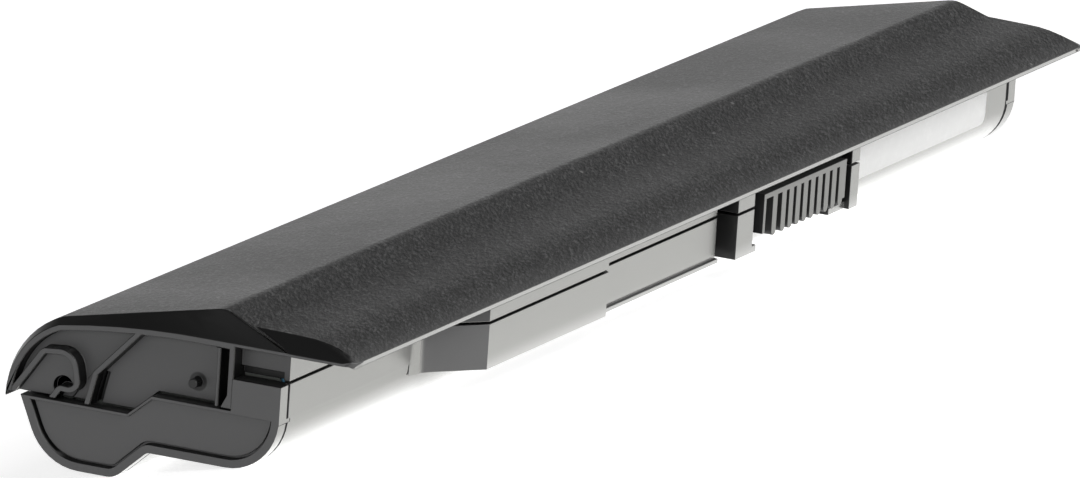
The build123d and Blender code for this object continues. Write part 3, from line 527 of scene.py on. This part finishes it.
# every other finish: two tones mixed by grain, with its own gloss
finishes = {
    "labelFilm": {"dark": (0.88, 0.88, 0.87), "light": (0.94, 0.94, 0.93), "fineness": 700.0,
                  "rough": 0.38, "height": 0.000002},
    "cellSleeve": {"dark": (0.06, 0.17, 0.27), "light": (0.09, 0.23, 0.34), "fineness": 300.0,
                   "rough": 0.25, "height": 0.000004},
    "nickel": {"dark": (0.55, 0.53, 0.49), "light": (0.72, 0.7, 0.66), "fineness": 1100.0,
               "rough": 0.3, "height": 0.000004, "metal": 1.0},
    "contactMetal": {"dark": (0.6, 0.42, 0.16), "light": (0.85, 0.64, 0.3), "fineness": 1500.0,
                     "rough": 0.26, "height": 0.000003, "metal": 1.0},
    "boardLaminate": {"dark": (0.015, 0.09, 0.045), "light": (0.03, 0.16, 0.075), "fineness": 900.0,
                      "rough": 0.33, "height": 0.000008},
    "chipPlastic": {"dark": (0.018, 0.018, 0.018), "light": (0.04, 0.04, 0.04), "fineness": 2600.0,
                    "rough": 0.5, "height": 0.00001},
    "resistorMetal": {"dark": (0.36, 0.32, 0.28), "light": (0.5, 0.46, 0.42), "fineness": 1600.0,
                      "rough": 0.36, "height": 0.000005, "metal": 0.9},
    "ceramic": {"dark": (0.42, 0.3, 0.18), "light": (0.58, 0.44, 0.3), "fineness": 2000.0,
                "rough": 0.45, "height": 0.000005},
    "blackInsulation": {"dark": (0.012, 0.012, 0.012), "light": (0.03, 0.03, 0.03), "fineness": 1200.0,
                        "rough": 0.45, "height": 0.000006},
    "redInsulation": {"dark": (0.36, 0.015, 0.01), "light": (0.55, 0.035, 0.02), "fineness": 1200.0,
                      "rough": 0.42, "height": 0.000006},
    "whiteInsulation": {"dark": (0.62, 0.62, 0.6), "light": (0.8, 0.8, 0.78), "fineness": 1200.0,
                        "rough": 0.42, "height": 0.000006},
    "card": {"dark": (0.05, 0.055, 0.05), "light": (0.08, 0.085, 0.08), "fineness": 800.0,
             "rough": 0.7, "height": 0.00002},
    "foam": {"dark": (0.02, 0.02, 0.02), "light": (0.07, 0.07, 0.07), "fineness": 1700.0,
             "rough": 0.85, "height": 0.00006},
}
finishTouch = {"speckleShare": 0.5, "cloudShare": 0.5, "cloudRough": 0.08}


def plainPaint(name, facts):
    # dark goes over to light by half the grain's speckle plus half the cloud, which also adds roughness
    material, tree, shader, place, facing = startMaterial(name)
    grain = useGroup(tree, "grain", {"Place": place, "Fineness": facts["fineness"]})
    flow = useGroup(tree, "flow", {"Place": place, "Facing": facing})
    speckle = product(tree, grain.outputs["Speckle"], finishTouch["speckleShare"])
    cloud = product(tree, flow.outputs["Cloud"], finishTouch["cloudShare"])
    blend = combine(tree, "ADD", speckle, cloud)
    tree.links.new(mixColor(tree, blend, facts["dark"], facts["light"]), shader.inputs["Base Color"])
    worn = product(tree, flow.outputs["Cloud"], finishTouch["cloudRough"])
    tree.links.new(combine(tree, "ADD", facts["rough"], worn), shader.inputs["Roughness"])
    shader.inputs["Metallic"].default_value = facts.get("metal", 0.0)
    addBump(tree, shader, product(tree, grain.outputs["Height"], facts["height"]))
    return material


paints = {name: casePaint(name, facts) for name, facts in cases.items()}
paints.update({name: plainPaint(name, facts) for name, facts in finishes.items()})
nodeSlots = {part["node"]: part["material_slot"] for part in frame["record"]["subparts"]}


def paintOf(node):
    # the paint of a node's slot has the slot's name, with its words joined: case_plastic, casePlastic
    first, *others = nodeSlots[node].split("_")
    return paints[first + "".join(word.capitalize() for word in others)]


for node in nodeSlots:
    nodes[node].data.materials.clear()
    nodes[node].data.materials.append(paintOf(node))
print("finishes on", len(nodeSlots), "nodes")

# the three moulded shells, with the small rounds that a mould leaves on every edge
shells = {
    "top_cover": {"piece": "coverShell", "round": 0.00014},
    "lower_case": {"piece": "tubShell", "round": 0.00008},
    "connector_housing": {"piece": "combShell", "round": 0.00008},
}
rounding = {
    "merge": 0.000001,                # corners closer than this are one
    "flat": 0.4,                      # faces that meet at less than this angle are joined
    "edge": 24.0,                     # edges sharper than this angle are rounded
    "segments": 2,
    "weight": 80,                     # how strongly large faces keep their shading flat
}


def roundShell(node, facts):
    # a copy of the CAD shell: its triangles merged, level ones joined, and its sharp edges rounded
    mesh = bpy.data.meshes.new(facts["piece"])
    work = bmesh.new()
    work.from_mesh(nodes[node].data)
    bmesh.ops.remove_doubles(work, verts=work.verts, dist=rounding["merge"])
    bmesh.ops.dissolve_limit(
        work, angle_limit=math.radians(rounding["flat"]), verts=work.verts, edges=work.edges,
    )
    for face in work.faces:
        face.smooth = True
    work.to_mesh(mesh)
    work.free()
    mesh.materials.append(paintOf(node))
    piece = bpy.data.objects.new(facts["piece"], mesh)
    bpy.context.scene.collection.objects.link(piece)
    bevel = piece.modifiers.new("mouldRound", "BEVEL")
    bevel.width = facts["round"]
    bevel.segments = rounding["segments"]
    bevel.limit_method = "ANGLE"
    bevel.angle_limit = math.radians(rounding["edge"])
    bevel.use_clamp_overlap = False
    bevel.miter_outer = "MITER_SHARP"
    shade = piece.modifiers.new("evenShade", "WEIGHTED_NORMAL")
    shade.keep_sharp = True
    shade.weight = rounding["weight"]
    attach(piece, "root")
    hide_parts(node)


for node, facts in shells.items():
    roundShell(node, facts)
print("moulded shells rounded")

# the bare label film on the front wall, in the pack's own places: along, back from the wall, up
seat = {
    "tilt": 13.3321,                  # how the pack stands: turned about X, then shifted
    "shift": (-0.1355, -0.0173651, 0.0117944),
}
label = {
    "top": -0.0006, "bottom": -0.0078,
    "lobe": 0.0085, "lobeHeight": -0.0054,    # the front lobe's round, and the height where it starts
    "lift": 0.00017, "corner": 0.001, "thick": 0.00012,
    "columns": 160, "rows": 60,
}


def seated(points):
    # back and up are turned by tilt, level = back cos - up sin and height = back sin + up cos, and then
    # all three are shifted
    turn = math.radians(seat["tilt"])
    along, back, up = points[..., 0], points[..., 1], points[..., 2]
    level = back * math.cos(turn) - up * math.sin(turn)
    height = back * math.sin(turn) + up * math.cos(turn)
    return np.stack([along, level, height], axis=-1) + np.array(seat["shift"])


def gridMesh(name, points):
    # a grid of rows by columns of points, each joined to its neighbours by a four-sided face
    rows, columns = points.shape[:2]
    index = np.arange(rows * columns).reshape(rows, columns)
    quads = np.stack([index[:-1, :-1], index[1:, :-1], index[1:, 1:], index[:-1, 1:]], axis=-1)
    mesh = bpy.data.meshes.new(name)
    mesh.from_pydata(points.reshape(-1, 3).tolist(), [], quads.reshape(-1, 4).tolist())
    mesh.update()
    return mesh


def makeLabel(facts):
    # rows go from top to bottom, closer together at both. Below lobeHeight the film follows the lobe:
    # back = lobe - root of (radius squared - fall squared). Near the top and the bottom each row is
    # shorter by corner - root of (corner squared - over squared), which rounds the corners
    low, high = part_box("side_label")
    begin, length = low[0] - seat["shift"][0], high[0] - low[0]
    share = 0.5 - 0.5 * np.cos(np.linspace(0, math.pi, facts["rows"]))
    up = facts["top"] + (facts["bottom"] - facts["top"]) * share
    fall = np.maximum(facts["lobeHeight"] - up, 0.0)
    radius = facts["lobe"] + facts["lift"]
    back = np.where(fall > 0, facts["lobe"] - np.sqrt(radius ** 2 - fall ** 2), -facts["lift"])
    edge = np.minimum(facts["top"] - up, up - facts["bottom"])
    over = np.maximum(facts["corner"] - edge, 0.0)
    inset = facts["corner"] - np.sqrt(np.maximum(facts["corner"] ** 2 - over ** 2, 0.0))
    step = np.linspace(0, 1, facts["columns"])
    along = begin + inset[:, None] + (length - 2 * inset[:, None]) * step[None, :]
    evenly = np.ones(facts["columns"])
    points = np.stack([along, np.outer(back, evenly), np.outer(up, evenly)], axis=-1)
    mesh = gridMesh("labelFace", seated(points))
    mesh.materials.append(paints["labelFilm"])
    mesh.shade_smooth()
    piece = bpy.data.objects.new("labelFace", mesh)
    bpy.context.scene.collection.objects.link(piece)
    film = piece.modifiers.new("filmThickness", "SOLIDIFY")
    film.thickness = facts["thick"]
    film.offset = -1.0                # the thickness goes towards the wall
    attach(piece, "root")
    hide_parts("side_label")


makeLabel(label)
print("label made")
